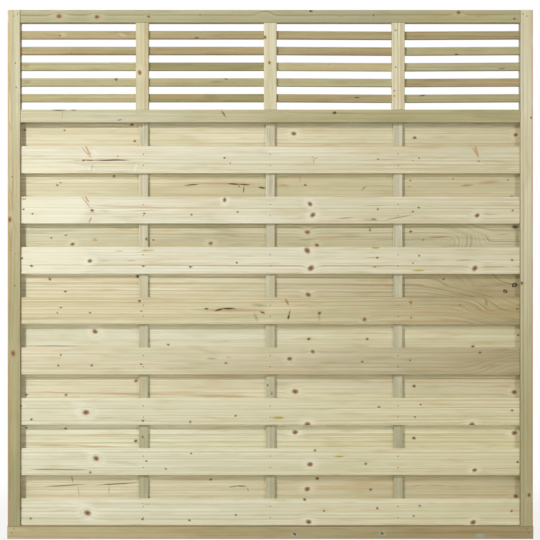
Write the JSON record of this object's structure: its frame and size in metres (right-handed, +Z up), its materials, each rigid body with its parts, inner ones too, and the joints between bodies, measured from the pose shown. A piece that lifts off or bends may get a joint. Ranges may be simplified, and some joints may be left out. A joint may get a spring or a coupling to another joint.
{
  "type": "fence panel",
  "caption": "Square timber fence panel with horizontal hit and miss boards nailed to upright battens in a grooved frame, and an open top of horizontal slats between muntins.",
  "frame": {"origin": "middle of the underside of the bottom rail, halfway through its depth", "axes": "+X across the panel to the right as seen from the front, +Y from the front face to the back, +Z up"},
  "size_m": [1.8, 0.044, 1.81],
  "materials": {
    "frame_timber": "planed softwood, pressure treated, pale straw with a green tinge, knotty",
    "muntin_timber": "planed softwood, pressure treated, pale straw with a green tinge, knotty",
    "batten_timber": "planed softwood, pressure treated, pale straw with a green tinge, knotty",
    "slat_timber": "planed softwood, pressure treated, pale straw with a green tinge, knotty",
    "front_board_timber": "planed softwood, pressure treated, pale straw with a green tinge, knotty",
    "back_board_timber": "planed softwood, pressure treated, pale straw with a green tinge, knotty",
    "nail_steel": "galvanised wire nails, dulled by the timber treatment"
  },
  "bodies": {
    "root": {"left_stile": "frame_timber", "right_stile": "frame_timber", "top_rail": "frame_timber", "mid_rail": "frame_timber", "bottom_rail": "frame_timber", "muntin_1": "muntin_timber", "muntin_2": "muntin_timber", "muntin_3": "muntin_timber", "batten_1": "batten_timber", "batten_2": "batten_timber", "batten_3": "batten_timber", "slat_bay1_row1": "slat_timber", "slat_bay1_row2": "slat_timber", "slat_bay1_row3": "slat_timber", "slat_bay1_row4": "slat_timber", "slat_bay1_row5": "slat_timber", "slat_bay2_row1": "slat_timber", "slat_bay2_row2": "slat_timber", "slat_bay2_row3": "slat_timber", "slat_bay2_row4": "slat_timber", "slat_bay2_row5": "slat_timber", "slat_bay3_row1": "slat_timber", "slat_bay3_row2": "slat_timber", "slat_bay3_row3": "slat_timber", "slat_bay3_row4": "slat_timber", "slat_bay3_row5": "slat_timber", "slat_bay4_row1": "slat_timber", "slat_bay4_row2": "slat_timber", "slat_bay4_row3": "slat_timber", "slat_bay4_row4": "slat_timber", "slat_bay4_row5": "slat_timber", "front_board_1": "front_board_timber", "front_board_2": "front_board_timber", "front_board_3": "front_board_timber", "front_board_4": "front_board_timber", "front_board_5": "front_board_timber", "front_board_6": "front_board_timber", "front_board_7": "front_board_timber", "front_board_8": "front_board_timber", "back_board_1": "back_board_timber", "back_board_2": "back_board_timber", "back_board_3": "back_board_timber", "back_board_4": "back_board_timber", "back_board_5": "back_board_timber", "back_board_6": "back_board_timber", "back_board_7": "back_board_timber", "back_board_8": "back_board_timber", "front_board_nails": "nail_steel", "back_board_nails": "nail_steel", "frame_pins": "nail_steel"}
  },
  "joints": []
}
